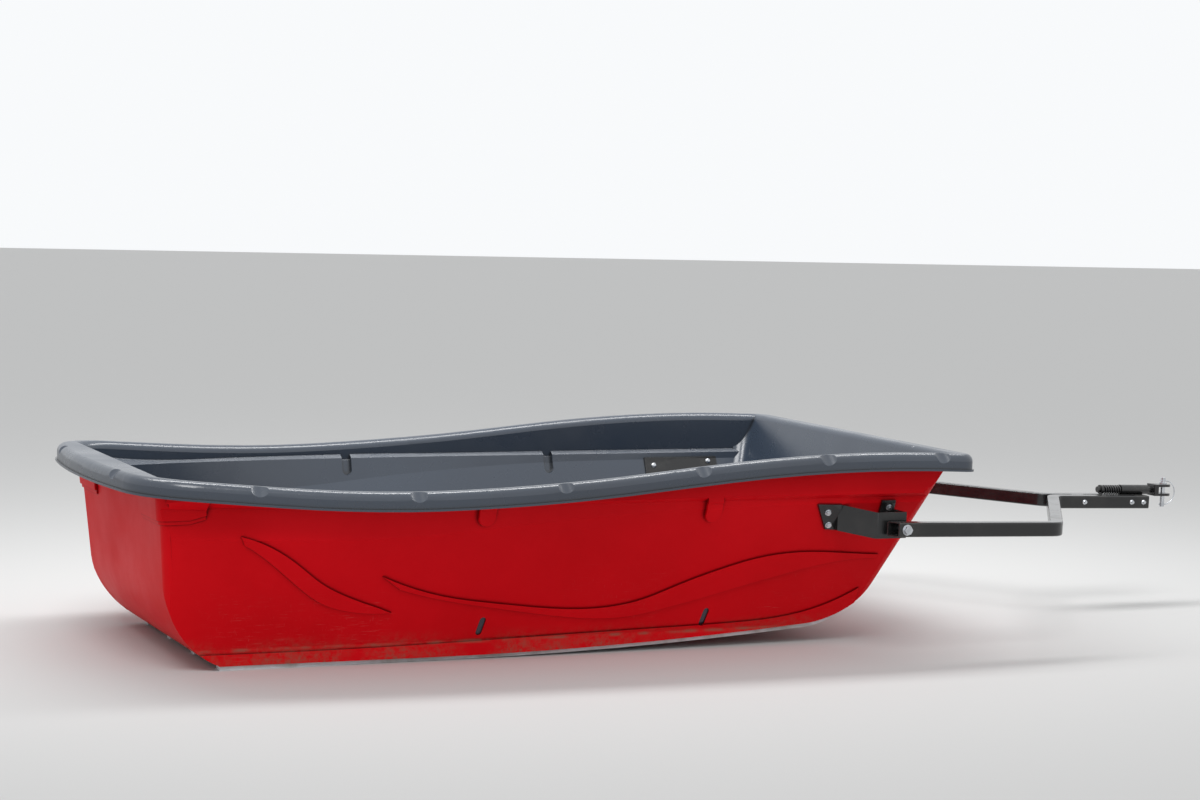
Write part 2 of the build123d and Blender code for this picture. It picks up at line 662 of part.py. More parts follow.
def make_tube(side):
    """Return one bent tube of the tow bar, open at both ends, its rear end cut at a slant."""
    points = bar_path(side)
    path = FilletPolyline(*points, radius=BEND_RADIUS)
    start = Plane(origin=path @ 0, x_dir=(0, 1, 0), z_dir=(1, 0, 0))
    outside = start * RectangleRounded(TUBE_WIDE, TUBE_TALL, 4.0)
    inside = start * RectangleRounded(TUBE_WIDE - 2 * TUBE_WALL, TUBE_TALL - 2 * TUBE_WALL, 2.0)
    tube = sweep(outside, path=path) - sweep(inside, path=path)
    end_x = PIVOT_X - BAR_TAIL
    inner_y, outer_y = side * (BAR_Y - TUBE_WIDE), side * (BAR_Y + TUBE_WIDE)
    wedge = make_face(Polyline(
        [(end_x - 1.0, inner_y), (end_x - 1.0, outer_y), (end_x + BAR_SLANT * 1.5, outer_y),
         (end_x - BAR_SLANT * 0.5, inner_y)], close=True))
    return tube - extrude(wedge, amount=TUBE_TALL, both=True)


def make_bar(side):
    """Return one tube with its bolt holes, at the parked angle."""
    tube = make_tube(side)
    hole = Cylinder((PIVOT_BOLT + PIVOT_FIT) / 2.0, 120.0).rotate(Axis.X, 90.0)
    tube = tube - hole.moved(Location((PIVOT_X, side * BAR_Y, 0)))
    for bolt_x in TONGUE_BOLTS:
        hole = Cylinder((BOLT_DIA + BOLT_FIT) / 2.0, TUBE_WIDE * 2.0).rotate(Axis.X, 90.0)
        tube = tube - hole.moved(Location((bolt_x, side * TONGUE_Y, 0)))
    return pitch_bar(tube)


def make_pivot_bolt(side):
    """Return the bolt that carries one side of the tow bar."""
    head_y = BAR_Y + TUBE_WIDE / 2.0
    shank = Cylinder(PIVOT_BOLT / 2.0, head_y - BRACKET_OUT + 26.0, align=(Align.CENTER, Align.CENTER, Align.MAX))
    head = extrude(RegularPolygon(11.0, 6), amount=8.0)
    washer = Cylinder(13.0, 1.5, align=(Align.CENTER, Align.CENTER, Align.MIN))
    bolt = shank + head.moved(Location((0, 0, 2.0))) + washer.moved(Location((0, 0, 0.5)))
    bolt = bolt + Cylinder(PIVOT_BOLT / 2.0, 4.0, align=(Align.CENTER, Align.CENTER, Align.MIN))
    bolt = bolt.rotate(Axis.X, -90.0).moved(Location((PIVOT_X, head_y, PIVOT_Z)))
    return bolt if side > 0 else bolt.mirror(Plane.XZ)


def make_spacer(side):
    """Return the spacer between a bracket and its tube."""
    ring = Cylinder(14.0, BAR_GAP - 0.5) - Cylinder((PIVOT_BOLT + PIVOT_FIT) / 2.0, BAR_GAP + 2.0)
    ring = ring.rotate(Axis.X, 90.0)
    return ring.moved(Location((PIVOT_X, side * (BRACKET_OUT + (BAR_GAP - 0.5) / 2.0), PIVOT_Z)))


def build_tow_bar():
    """Build the tubes of the tow bar with their pivot bolts and spacers."""
    pieces = {}
    for name, side in (("left", 1.0), ("right", -1.0)):
        pieces["bar_" + name] = make_bar(side)
        pieces["pivot_bolt_" + name] = make_pivot_bolt(side)
        pieces["spacer_" + name] = make_spacer(side)
    return pieces


def lie_along(shape, start_x, rise):
    """Lay an upright shape along the tongue, at a height above its centre line."""
    turned = shape.rotate(Axis.Y, 90.0)
    return pitch_bar(turned.moved(Location((start_x, 0, rise))))


def make_spring():
    """Return the coil that cushions the coupler."""
    radius = (SPRING_DIA - SPRING_WIRE) / 2.0
    height = SPRING_LENGTH - SPRING_WIRE
    helix = Helix(pitch=height / SPRING_TURNS, height=height, radius=radius)
    start = Plane(origin=helix @ 0, z_dir=helix % 0)
    coil = sweep(start * Circle(SPRING_WIRE / 2.0), path=helix, is_frenet=True)
    return coil.moved(Location((0, 0, SPRING_WIRE / 2.0)))


def make_tongue_bolt(bolt_x):
    """Return one bolt that ties the two tubes of the tongue together."""
    half = TONGUE_GAP / 2.0 + TUBE_WIDE
    shank = Cylinder(BOLT_DIA / 2.0, 2.0 * half + 12.0)
    dome = Sphere(BOLT_HEAD) & Box(40.0, 40.0, 9.0, align=(Align.CENTER, Align.CENTER, Align.MIN))
    dome = dome - Box(40.0, 40.0, 4.0, align=(Align.CENTER, Align.CENTER, Align.MIN))
    nut = extrude(RegularPolygon(BOLT_HEAD - 0.5, 6), amount=6.0)
    bolt = shank + dome.moved(Location((0, 0, half - 4.0)))
    bolt = bolt + nut.rotate(Axis.X, 180.0).moved(Location((0, 0, -half)))
    bolt = bolt & Box(40.0, 40.0, 2.0 * half + 16.0)
    return pitch_bar(bolt.rotate(Axis.X, 90.0).moved(Location((bolt_x, 0, 0))))


def make_tongue_spacer(start_x, length):
    """Return the flat bar that fills the slot between the tubes of the tongue."""
    bar = Box(length, TONGUE_GAP, TUBE_TALL, align=(Align.MIN, Align.CENTER, Align.CENTER))
    bar = bar.moved(Location((start_x, 0, 0)))
    for bolt_x in TONGUE_BOLTS:
        hole = Cylinder((BOLT_DIA + BOLT_FIT) / 2.0, 60.0).rotate(Axis.X, 90.0)
        bar = bar - hole.moved(Location((bolt_x, 0, 0)))
    return pitch_bar(bar)


def make_sleeve():
    """Return the tube that guides the draw rod, with the foot it is welded by."""
    bottom = (Align.CENTER, Align.CENTER, Align.MIN)
    tube = Cylinder(SLEEVE_DIA / 2.0, SLEEVE_LENGTH, align=bottom)
    foot = Box(COUPLER_RISE - TUBE_TALL / 2.0, TONGUE_GAP, TONGUE_END - SLEEVE_START, align=bottom)
    foot = foot.moved(Location(((COUPLER_RISE - TUBE_TALL / 2.0) / 2.0, 0, 0)))
    sleeve = tube + foot - Cylinder(SLEEVE_BORE / 2.0, SLEEVE_LENGTH * 3.0)
    return lie_along(sleeve, SLEEVE_START, COUPLER_RISE)


def make_draw_rod():
    """Return the rod that slides in the sleeve, with the collar behind its spring."""
    bottom = (Align.CENTER, Align.CENTER, Align.MIN)
    start = SLEEVE_START - SPRING_LENGTH - COLLAR_THICK - 8.0
    rod = Cylinder(ROD_DIA / 2.0, CLEVIS_START + CLEVIS_PLATE * 2.0 - start, align=bottom)
    collar = Cylinder(SPRING_DIA / 2.0, COLLAR_THICK, align=bottom)
    rod = rod + collar.moved(Location((0, 0, 8.0)))
    return lie_along(rod, start, COUPLER_RISE)


def make_clevis():
    """Return the fork that takes the hitch pin."""
    block = Box(CLEVIS_LENGTH, CLEVIS_WIDE, CLEVIS_TALL, align=(Align.MIN, Align.CENTER, Align.CENTER))
    block = fillet(block.edges().filter_by(Axis.Z).group_by(Axis.X)[-1], radius=CLEVIS_WIDE / 2.0 - 1.0)
    slot = Box(CLEVIS_LENGTH, CLEVIS_WIDE * 2.0, CLEVIS_TALL - 2.0 * CLEVIS_PLATE,
               align=(Align.MIN, Align.CENTER, Align.CENTER))
    block = block - slot.moved(Location((CLEVIS_PLATE * 2.0, 0, 0)))
    bore = Cylinder((ROD_DIA + 0.1) / 2.0, CLEVIS_PLATE * 6.0).rotate(Axis.Y, 90.0)
    hole = Cylinder((HITCH_PIN + 0.1) / 2.0, CLEVIS_TALL * 2.0)
    block = block - bore - hole.moved(Location((HITCH_PIN_X - CLEVIS_START, 0, 0)))
    return pitch_bar(block.moved(Location((CLEVIS_START, 0, COUPLER_RISE))))


def make_hitch_pin():
    """Return the upright pin of the clevis, with a cross hole at its boss and at its tip."""
    bottom = (Align.CENTER, Align.CENTER, Align.MIN)
    top = CLEVIS_TALL / 2.0
    pin = Cylinder(HITCH_PIN / 2.0, top + PIN_TIP + PIN_HEAD + PIN_BOSS, align=bottom)
    pin = pin.moved(Location((0, 0, -PIN_TIP)))
    head = Cylinder(HITCH_PIN * 0.85, PIN_HEAD, align=bottom)
    pin = pin + head.moved(Location((0, 0, top + 0.2)))
    for height in (CLIP_TOP, CLIP_LOW):
        hole = Cylinder((CLIP_WIRE + 0.1) / 2.0, 60.0).rotate(Axis.Y, 90.0)
        pin = pin - hole.moved(Location((0, 0, height)))
    return pitch_bar(pin.moved(Location((HITCH_PIN_X, 0, COUPLER_RISE))))


def make_clip():
    """Return the wire bow that locks the hitch pin from its boss to its tip."""
    radius = (CLIP_TOP - CLIP_LOW) / 2.0
    middle = (CLIP_TOP + CLIP_LOW) / 2.0
    reach = HITCH_PIN / 2.0 + 1.0
    path = Wire([
        Line((-CLIP_END, 0, CLIP_LOW), (reach, 0, CLIP_LOW)),
        ThreePointArc((reach, 0, CLIP_LOW), (reach + radius, 0, middle), (reach, 0, CLIP_TOP)),
        Line((reach, 0, CLIP_TOP), (-CLIP_END, 0, CLIP_TOP)),
    ])
    start = Plane(origin=path @ 0, z_dir=path % 0)
    clip = sweep(start * Circle(CLIP_WIRE / 2.0), path=path)
    return pitch_bar(clip.moved(Location((HITCH_PIN_X, 0, COUPLER_RISE))))


def build_coupler():
    """Build the tongue's bolts and bars, the sleeve, the rod, the spring and the clevis."""
    pieces = {}
    for index, bolt_x in enumerate(TONGUE_BOLTS):
        pieces["tongue_bolt_%d" % (index + 1)] = make_tongue_bolt(bolt_x)
    pieces["tongue_bar_rear"] = make_tongue_spacer(TONGUE_BOLTS[0] - 20.0, 40.0)
    pieces["tongue_bar_front"] = make_tongue_spacer(SLEEVE_START, TONGUE_END - SLEEVE_START)
    pieces["sleeve"] = make_sleeve()
    pieces["draw_rod"] = make_draw_rod()
    pieces["spring"] = lie_along(make_spring(), SLEEVE_START - SPRING_LENGTH, COUPLER_RISE)
    pieces["clevis"] = make_clevis()
    pieces["hitch_pin"] = make_hitch_pin()
    pieces["pin_clip"] = make_clip()
    return pieces


def save(pieces):
    """Centre the whole sled along its length and write every piece to its own file."""
    boxes = [shape.bounding_box() for shape in pieces.values()]
    rear = min(box.min.X for box in boxes)
    front = max(box.max.X for box in boxes)
    shift = Location((-(rear + front) / 2.0, 0, 0))
    os.makedirs("parts", exist_ok=True)
    for name, shape in pieces.items():
        export_step(shape.moved(shift), "parts/%s.step" % name)
    print("length %.2f, shift %.2f" % (front - rear, -(rear + front) / 2.0))


def main():
    """Build and save the whole sled."""
    pieces = build_hull()
    pieces.update(build_tow_bar())
    pieces.update(build_coupler())
    save(pieces)


if __name__ == "__main__":
    main()
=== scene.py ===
"""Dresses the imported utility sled, its plastics and steels with their wear, on a plain pale stage."""

from __future__ import annotations

import json
import logging
import math
from abc import ABC, abstractmethod
from dataclasses import dataclass, field
from enum import Enum

import bpy
from mathutils import Euler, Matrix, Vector

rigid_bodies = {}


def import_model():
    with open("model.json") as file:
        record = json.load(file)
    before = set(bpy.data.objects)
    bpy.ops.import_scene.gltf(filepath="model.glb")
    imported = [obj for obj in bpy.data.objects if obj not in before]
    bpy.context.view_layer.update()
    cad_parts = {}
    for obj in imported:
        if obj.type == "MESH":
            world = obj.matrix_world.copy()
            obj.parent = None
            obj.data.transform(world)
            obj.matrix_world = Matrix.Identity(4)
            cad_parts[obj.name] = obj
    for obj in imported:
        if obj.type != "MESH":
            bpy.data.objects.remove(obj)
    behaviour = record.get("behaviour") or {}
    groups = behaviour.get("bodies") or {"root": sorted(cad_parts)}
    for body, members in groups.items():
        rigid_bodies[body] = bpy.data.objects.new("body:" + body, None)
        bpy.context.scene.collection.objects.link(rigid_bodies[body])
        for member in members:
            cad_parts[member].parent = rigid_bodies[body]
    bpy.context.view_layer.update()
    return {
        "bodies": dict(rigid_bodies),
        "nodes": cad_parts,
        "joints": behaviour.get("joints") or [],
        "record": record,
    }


LOG = logging.getLogger("utility_sled")

Triple = tuple[float, float, float]
Colour = Triple
Socket = bpy.types.NodeSocket

# The CAD source counts lengths from the rear lip of the rim, in millimetres. The frame is centred.
FRAME_SHIFT_MM = -1544.03
MM_IN_METRE = 1000.0

# The round on a node's sharp edges: its width in metres, by the start of the node's name
EDGE_ROUNDS = {"bracket": 0.0008, "backing": 0.0006, "clevis": 0.0015, "tongue_bar": 0.0006}
EDGE_SEGMENTS = 2
SHARP_FROM_DEGREES = 28.0
WELD_REACH = 0.00002

# Moulded and coated plastics bend light alike
PLASTIC_IOR = 1.5
OPENNESS_RAYS = 8


class Slot(Enum):
    """The record's material slots."""

    RED = "red_shell"
    GREY = "grey_shell"
    STRIP = "wear_strip"
    STEEL = "black_steel"
    ZINC = "zinc"
    SPRING = "spring_steel"


def hull_point(x_mm: float, y_mm: float, z_mm: float) -> Vector:
    """Turn a place on the hull, counted from the rear lip, into the frame.

    Args:
        x_mm: Length from the rear lip in millimetres.
        y_mm: Width from the centre in millimetres.
        z_mm: Height above the ground in millimetres.

    Returns:
        The place in the frame, in metres.
    """
    return Vector(((x_mm + FRAME_SHIFT_MM) / MM_IN_METRE, y_mm / MM_IN_METRE, z_mm / MM_IN_METRE))


@dataclass(frozen=True)
class Cloud:
    """Cloudy noise, and the two of its values that are spread out to a full range."""

    scale: float
    detail: float
    low: float
    high: float
    rough: float = 0.55
    stretch: Triple | None = None


class Graph:
    """Builds the shader of one material, node by node."""

    def __init__(self, name: str) -> None:
        """Start a material with an empty node tree.

        Args:
            name: The material's name.
        """
        self.material = bpy.data.materials.new(name)
        self.material.use_nodes = True
        self.nodes = self.material.node_tree.nodes
        self.links = self.material.node_tree.links
        self.nodes.clear()
        self.shader = self.nodes.new("ShaderNodeBsdfPrincipled")
        output = self.nodes.new("ShaderNodeOutputMaterial")
        self.links.new(self.shader.outputs["BSDF"], output.inputs["Surface"])
        self.place = self.nodes.new("ShaderNodeTexCoord").outputs["Object"]

    def fixed(self, **values: float | tuple[float, ...]) -> None:
        """Set plain values on the shader's own sockets, underscores standing for spaces."""
        for key, value in values.items():
            self.shader.inputs[key.replace("_", " ")].default_value = value

    def join(self, value: Socket, name: str) -> None:
        """Plug a value into one of the shader's sockets."""
        self.links.new(value, self.shader.inputs[name])

    def stretched(self, scale: Triple) -> Socket:
        """Return the object's coordinates, scaled along each axis."""
        mapping = self.nodes.new("ShaderNodeMapping")
        mapping.inputs["Scale"].default_value = scale
        self.links.new(self.place, mapping.inputs["Vector"])
        return mapping.outputs["Vector"]

    def noise(self, scale: float, detail: float, vector: Socket | None = None, rough: float = 0.55) -> Socket:
        """Return cloudy noise.

        Args:
            scale: How fine the noise is.
            detail: How many finer layers it has.
            vector: The coordinates it reads, or None for the object's own.
            rough: How strong the finer layers are.

        Returns:
            The noise's value, about 0.3 to 0.7.
        """
        node = self.nodes.new("ShaderNodeTexNoise")
        node.inputs["Scale"].default_value = scale
        node.inputs["Detail"].default_value = detail
        node.inputs["Roughness"].default_value = rough
        self.links.new(vector or self.place, node.inputs["Vector"])
        return node.outputs["Fac"]

    def cloud(self, shape: Cloud, start: float = 0.0, end: float = 1.0) -> Socket:
        """Return cloudy noise, spread out over a range.

        Args:
            shape: The noise and the values that are spread out.
            start: The result at the low value.
            end: The result at the high value.

        Returns:
            The spread noise.
        """
        vector = self.stretched(shape.stretch) if shape.stretch else None
        noise = self.noise(shape.scale, shape.detail, vector, shape.rough)
        return self.window(noise, shape.low, shape.high, start, end)

    def axis(self, index: int) -> Socket:
        """Return one of the object's coordinates."""
        node = self.nodes.new("ShaderNodeSeparateXYZ")
        self.links.new(self.place, node.inputs["Vector"])
        return node.outputs[index]

    def openness(self, reach: float) -> Socket:
        """Return how open the surface lies, from 0 deep in a fold to 1, within a reach in metres; it sets
        where shade is painted into creases.
        """
        node = self.nodes.new("ShaderNodeAmbientOcclusion")
        node.samples = OPENNESS_RAYS
        node.inputs["Distance"].default_value = reach
        return node.outputs["AO"]

    def facing_up(self) -> Socket:
        """Return the upward part of the surface's direction."""
        geometry = self.nodes.new("ShaderNodeNewGeometry")
        node = self.nodes.new("ShaderNodeSeparateXYZ")
        self.links.new(geometry.outputs["Normal"], node.inputs["Vector"])
        return node.outputs[2]

    def maths(self, operation: str, first: Socket | float, second: Socket | float) -> Socket:
        """Return a sum, product or other operation of two values."""
        node = self.nodes.new("ShaderNodeMath")
        node.operation = operation
        for socket, value in zip(node.inputs, (first, second)):
            if isinstance(value, (int, float)):
                socket.default_value = value
            else:
                self.links.new(value, socket)
        return node.outputs[0]

    def times(self, first: Socket, second: Socket | float) -> Socket:
        """Return the product of two values."""
        return self.maths("MULTIPLY", first, second)

    def window(self, value: Socket, low: float, high: float, start: float = 0.0, end: float = 1.0) -> Socket:
        """Map a value from low and high to start and end, held at both.

        Args:
            value: The value to map.
            low: The value that gives start.
            high: The value that gives end.
            start: The result at low.
            end: The result at high.

        Returns:
            The mapped value.
        """
        node = self.nodes.new("ShaderNodeMapRange")
        node.clamp = True
        node.inputs["From Min"].default_value = low
        node.inputs["From Max"].default_value = high
        node.inputs["To Min"].default_value = start
        node.inputs["To Max"].default_value = end
        self.links.new(value, node.inputs["Value"])
        return node.outputs["Result"]

    def blend(self, amount: Socket, under: Socket | Colour, over: Socket | Colour) -> Socket:
        """Return one colour laid over another by an amount."""
        node = self.nodes.new("ShaderNodeMix")
        node.data_type = "RGBA"
        self.links.new(amount, node.inputs["Factor"])
        colours = [socket for socket in node.inputs if socket.type == "RGBA"]
        for socket, value in zip(colours, (under, over)):
            if isinstance(value, tuple):
                socket.default_value = (*value, 1.0)
            else:
                self.links.new(value, socket)
        return next(socket for socket in node.outputs if socket.type == "RGBA")

    def bump(self, height: Socket, strength: float, distance: float) -> None:
        """Roughen the surface by a height.

        Args:
            height: The height's value.
            strength: How much of it shows, 0 to 1.
            distance: The height of a full step in metres.
        """
        node = self.nodes.new("ShaderNodeBump")
        node.inputs["Strength"].default_value = strength
        node.inputs["Distance"].default_value = distance
        self.links.new(height, node.inputs["Height"])
        self.join(node.outputs["Normal"], "Normal")


@dataclass(frozen=True)
class Finish(ABC):
    """A finish, which makes its own material."""

    name: str

    @abstractmethod
    def make(self) -> bpy.types.Material:
        """Return the material."""


@dataclass(frozen=True)
class MouldedShell(Finish):
    """Moulded plastic with a slight orange peel, scuffed and dusty low down, and darkened in its creases by
    painted shade.
    """

    colour: Colour
    deep: Colour
    scuff: Colour
    dust: Colour
    # Painted shade: the colour laid into creases, under the rim and in grooves, where ambient occlusion finds
    # them
    painted_crease_shade: Colour
    roughness: float
    gloss: float
    scuff_below: float
    scuff_most: float
    dust_below: float
    dust_most: float
    scuff_full: float = 0.03
    dust_full: float = 0.008
    dust_roughness: float = 0.3
    # The painted shade in creases: how far the occlusion looks, the openness over which it fades in, and its
    # strength
    crease_shade_reach: float = 0.014
    crease_shade_from: tuple[float, float] = (0.60, 0.90)
    crease_shade_most: float = 0.85
    tint_cloud: Cloud = Cloud(3.0, 5.0, 0.35, 0.65)
    sheen_cloud: Cloud = Cloud(6.0, 4.0, 0.35, 0.7)
    sheen_spread: tuple[float, float] = (0.04, 0.08)
    long_scratches: Cloud = Cloud(22.0, 5.0, 0.60, 0.70, 0.65, (1.0, 3.0, 18.0))
    steep_scratches: Cloud = Cloud(24.0, 5.0, 0.63, 0.72, 0.65, (12.0, 3.0, 1.6))
    rubbed_patches: Cloud = Cloud(4.0, 3.0, 0.47, 0.62)
    dust_grain: Cloud = Cloud(70.0, 7.0, 0.40, 0.68, 0.72)
    dust_cloud: Cloud = Cloud(7.0, 4.0, 0.36, 0.62)
    foot_rise: tuple[float, float] = (0.038, 0.044)
    foot_fall: tuple[float, float] = (0.045, 0.052)
    foot_gaps: Cloud = Cloud(18.0, 5.0, 0.42, 0.60)
    foot_most: float = 0.7
    peel_scale: float = 230.0
    wave_scale: float = 9.0
    wave_share: float = 2.0
    peel_detail: float = 2.0
    peel_strength: float = 0.22
    peel_height: float = 0.0006

    def make(self) -> bpy.types.Material:
        """Return the material."""
        graph = Graph(self.name)
        colour = graph.blend(graph.cloud(self.tint_cloud), self.colour, self.deep)
        height = graph.axis(2)
        low = graph.window(height, self.scuff_full, self.scuff_below, 1.0, 0.0)
        scuffs = graph.times(self.scratches(graph), low)
        colour = graph.blend(graph.times(scuffs, self.scuff_most), colour, self.scuff)
        # Painted shade: darken the colour in creases, under the rim and in grooves, by ambient occlusion
        crease_shade_amount = graph.window(graph.openness(self.crease_shade_reach), *self.crease_shade_from, self.crease_shade_most, 0.0)
        colour = graph.blend(crease_shade_amount, colour, self.painted_crease_shade)
        dust = graph.maths("MAXIMUM", self.settled_dust(graph, height), self.foot_line(graph, height))
        graph.join(graph.blend(dust, colour, self.dust), "Base Color")
        smoother, rougher = self.sheen_spread
        patchy = graph.cloud(self.sheen_cloud, self.roughness - smoother, self.roughness + rougher)
        graph.join(graph.maths("ADD", patchy, graph.times(dust, self.dust_roughness)), "Roughness")
        graph.fixed(IOR=PLASTIC_IOR, Specular_IOR_Level=self.gloss)
        self.peel(graph)
        return graph.material

    def scratches(self, graph: Graph) -> Socket:
        """Return long fine scratches and rubbed patches, strongest where both meet."""
        fine = graph.cloud(self.long_scratches)
        steep = graph.cloud(self.steep_scratches)
        patches = graph.cloud(self.rubbed_patches)
        return graph.times(graph.maths("MAXIMUM", fine, steep), patches)

    def foot_line(self, graph: Graph, height: Socket) -> Socket:
        """Return the broken line of dirt along the foot's groove, 44 mm above the ground."""
        rise = graph.window(height, *self.foot_rise)
        fall = graph.window(height, *self.foot_fall, 1.0, 0.0)
        broken = graph.cloud(self.foot_gaps, 0.0, self.foot_most)
        return graph.times(graph.times(rise, fall), broken)

    def settled_dust(self, graph: Graph, height: Socket) -> Socket:
        """Return the film of dust, which thins out with height.

        Args:
            graph: The material's graph.
            height: The height socket.

        Returns:
            The amount of dust, 0 to 1.
        """
        settled = graph.window(height, self.dust_full, self.dust_below, 1.0, 0.0)
        grain = graph.cloud(self.dust_grain)
        cloud = graph.cloud(self.dust_cloud)
        return graph.times(graph.times(graph.times(settled, grain), cloud), self.dust_most)

    def peel(self, graph: Graph) -> None:
        """Roughen the surface by a fine orange peel on slow waves."""
        fine = graph.noise(self.peel_scale, self.peel_detail)
        waves = graph.times(graph.noise(self.wave_scale, self.peel_detail), self.wave_share)
        graph.bump(graph.maths("ADD", fine, waves), self.peel_strength, self.peel_height)


@dataclass(frozen=True)
class WornStrip(Finish):
    """Light plastic of the wear strips, dirty and scored along their length."""

    colour: Colour
    dirt: Colour
    roughness: float = 0.55
    scores: Cloud = Cloud(12.0, 6.0, 0.50, 0.68, 0.7, (0.6, 9.0, 6.0))
    scores_most: float = 0.55
    scores_strength: float = 0.4
    scores_depth: float = 0.0006
    grime: Cloud = Cloud(16.0, 6.0, 0.46, 0.66)
    grime_most: float = 0.6

    def make(self) -> bpy.types.Material:
        """Return the material."""
        graph = Graph(self.name)
        scores = graph.cloud(self.scores)
        grime = graph.cloud(self.grime)
        colour = graph.blend(graph.times(scores, self.scores_most), self.colour, self.dirt)
        colour = graph.blend(graph.times(grime, self.grime_most), colour, self.dirt)
        graph.join(colour, "Base Color")
        graph.fixed(Roughness=self.roughness, IOR=PLASTIC_IOR)
        graph.bump(scores, self.scores_strength, self.scores_depth)
        return graph.material


@dataclass(frozen=True)
class PowderCoat(Finish):
    """Gloss powder coat over steel, with a film of dust that is thickest on top."""

    colour: Colour
    dust: Colour
    roughness: float
    coat: float = 0.35
    coat_roughness: float = 0.12
    dust_grain: Cloud = Cloud(11.0, 7.0, 0.50, 0.74, 0.68)
    dust_from: float = -0.2
    dust_least: float = 0.08
    dust_most: float = 0.5
    dust_roughness: float = 0.35
    peel_scale: float = 220.0
    peel_detail: float = 2.0
    peel_strength: float = 0.12
    peel_height: float = 0.0004

    def make(self) -> bpy.types.Material:
        """Return the material."""
        graph = Graph(self.name)
        grain = graph.cloud(self.dust_grain)
        upward = graph.window(graph.facing_up(), self.dust_from, 1.0, self.dust_least, self.dust_most)
        film = graph.times(grain, upward)
        graph.join(graph.blend(film, self.colour, self.dust), "Base Color")
        graph.join(graph.maths("ADD", graph.times(film, self.dust_roughness), self.roughness), "Roughness")
        graph.fixed(IOR=PLASTIC_IOR, Coat_Weight=self.coat, Coat_Roughness=self.coat_roughness)
        graph.bump(graph.noise(self.peel_scale, self.peel_detail), self.peel_strength, self.peel_height)
        return graph.material


@dataclass(frozen=True)
class ZincPlate(Finish):
    """Bright zinc plate on bolts and the hitch pin."""

    colour: Colour
    tarnish: Colour
    patches: Cloud = Cloud(40.0, 5.0, 0.42, 0.68)
    bright_roughness: float = 0.24
    tarnish_roughness: float = 0.45

    def make(self) -> bpy.types.Material:
        """Return the material."""
        graph = Graph(self.name)
        patches = graph.cloud(self.patches)
        graph.join(graph.blend(patches, self.colour, self.tarnish), "Base Color")
        roughness = graph.window(patches, 0.0, 1.0, self.bright_roughness, self.tarnish_roughness)
        graph.join(roughness, "Roughness")
        graph.fixed(Metallic=1.0)
        return graph.material


# Each shell's colour for its creases is painted shade, laid in where ambient occlusion finds creases
FINISHES: dict[Slot, Finish] = {
    Slot.RED: MouldedShell(
        name="red shell", colour=(0.720, 0.0020, 0.0080), deep=(0.640, 0.0014, 0.0060),
        scuff=(0.60, 0.13, 0.12), dust=(0.22, 0.125, 0.085), painted_crease_shade=(0.16, 0.001, 0.003),
        roughness=0.46, gloss=0.08, scuff_below=0.26, scuff_most=0.6, dust_below=0.080, dust_most=0.9),
    Slot.GREY: MouldedShell(
        name="grey shell", colour=(0.030, 0.044, 0.068), deep=(0.023, 0.034, 0.054),
        scuff=(0.15, 0.17, 0.19), dust=(0.17, 0.16, 0.14), painted_crease_shade=(0.006, 0.008, 0.011),
        roughness=0.27, gloss=0.95, scuff_below=0.40, scuff_most=0.35, dust_below=0.11, dust_most=0.5),
    Slot.STRIP: WornStrip(name="wear strip", colour=(0.70, 0.71, 0.74), dirt=(0.34, 0.32, 0.28)),
    Slot.STEEL: PowderCoat(
        name="black steel", colour=(0.0075, 0.0077, 0.0085), dust=(0.10, 0.095, 0.085), roughness=0.24),
    Slot.ZINC: ZincPlate(name="zinc plate", colour=(0.70, 0.72, 0.75), tarnish=(0.48, 0.50, 0.53)),
    Slot.SPRING: PowderCoat(
        name="spring steel", colour=(0.02, 0.02, 0.022), dust=(0.12, 0.11, 0.10), roughness=0.3),
}


@dataclass
class Dresser:
    """Gives CAD nodes their finish and rounds their sharp edges."""

    frame: dict
    materials: dict[Slot, bpy.types.Material] = field(default_factory=dict)

    def prepare(self) -> None:
        """Make one material for each slot."""
        self.materials = {slot: finish.make() for slot, finish in FINISHES.items()}

    def dress_nodes(self) -> None:
        """Give every CAD node the finish of its slot, and some a small round on their edges."""
        slots = {part["node"]: Slot(part["material_slot"]) for part in self.frame["record"]["subparts"]}
        for name, obj in self.frame["nodes"].items():
            self.coat(obj, slots[name])
            for start, width in EDGE_ROUNDS.items():
                if name.startswith(start):
                    self.round_edges(obj, width)
                    break
            LOG.info("%s: %s, %d faces", name, slots[name].value, len(obj.data.polygons))

    def coat(self, obj: bpy.types.Object, slot: Slot) -> None:
        """Give a CAD node the finish of one slot."""
        obj.data.materials.clear()
        obj.data.materials.append(self.materials[slot])

    @staticmethod
    def round_edges(obj: bpy.types.Object, width: float) -> None:
        """Round the sharp edges of a node by modifiers.

        Args:
            obj: The CAD node.
            width: Width of the round in metres.
        """
        weld = obj.modifiers.new("weld", "WELD")
        weld.merge_threshold = WELD_REACH
        bevel = obj.modifiers.new("round", "BEVEL")
        bevel.width = width
        bevel.segments = EDGE_SEGMENTS
        bevel.limit_method = "ANGLE"
        bevel.angle_limit = math.radians(SHARP_FROM_DEGREES)
        bevel.use_clamp_overlap = True
        bevel.harden_normals = False


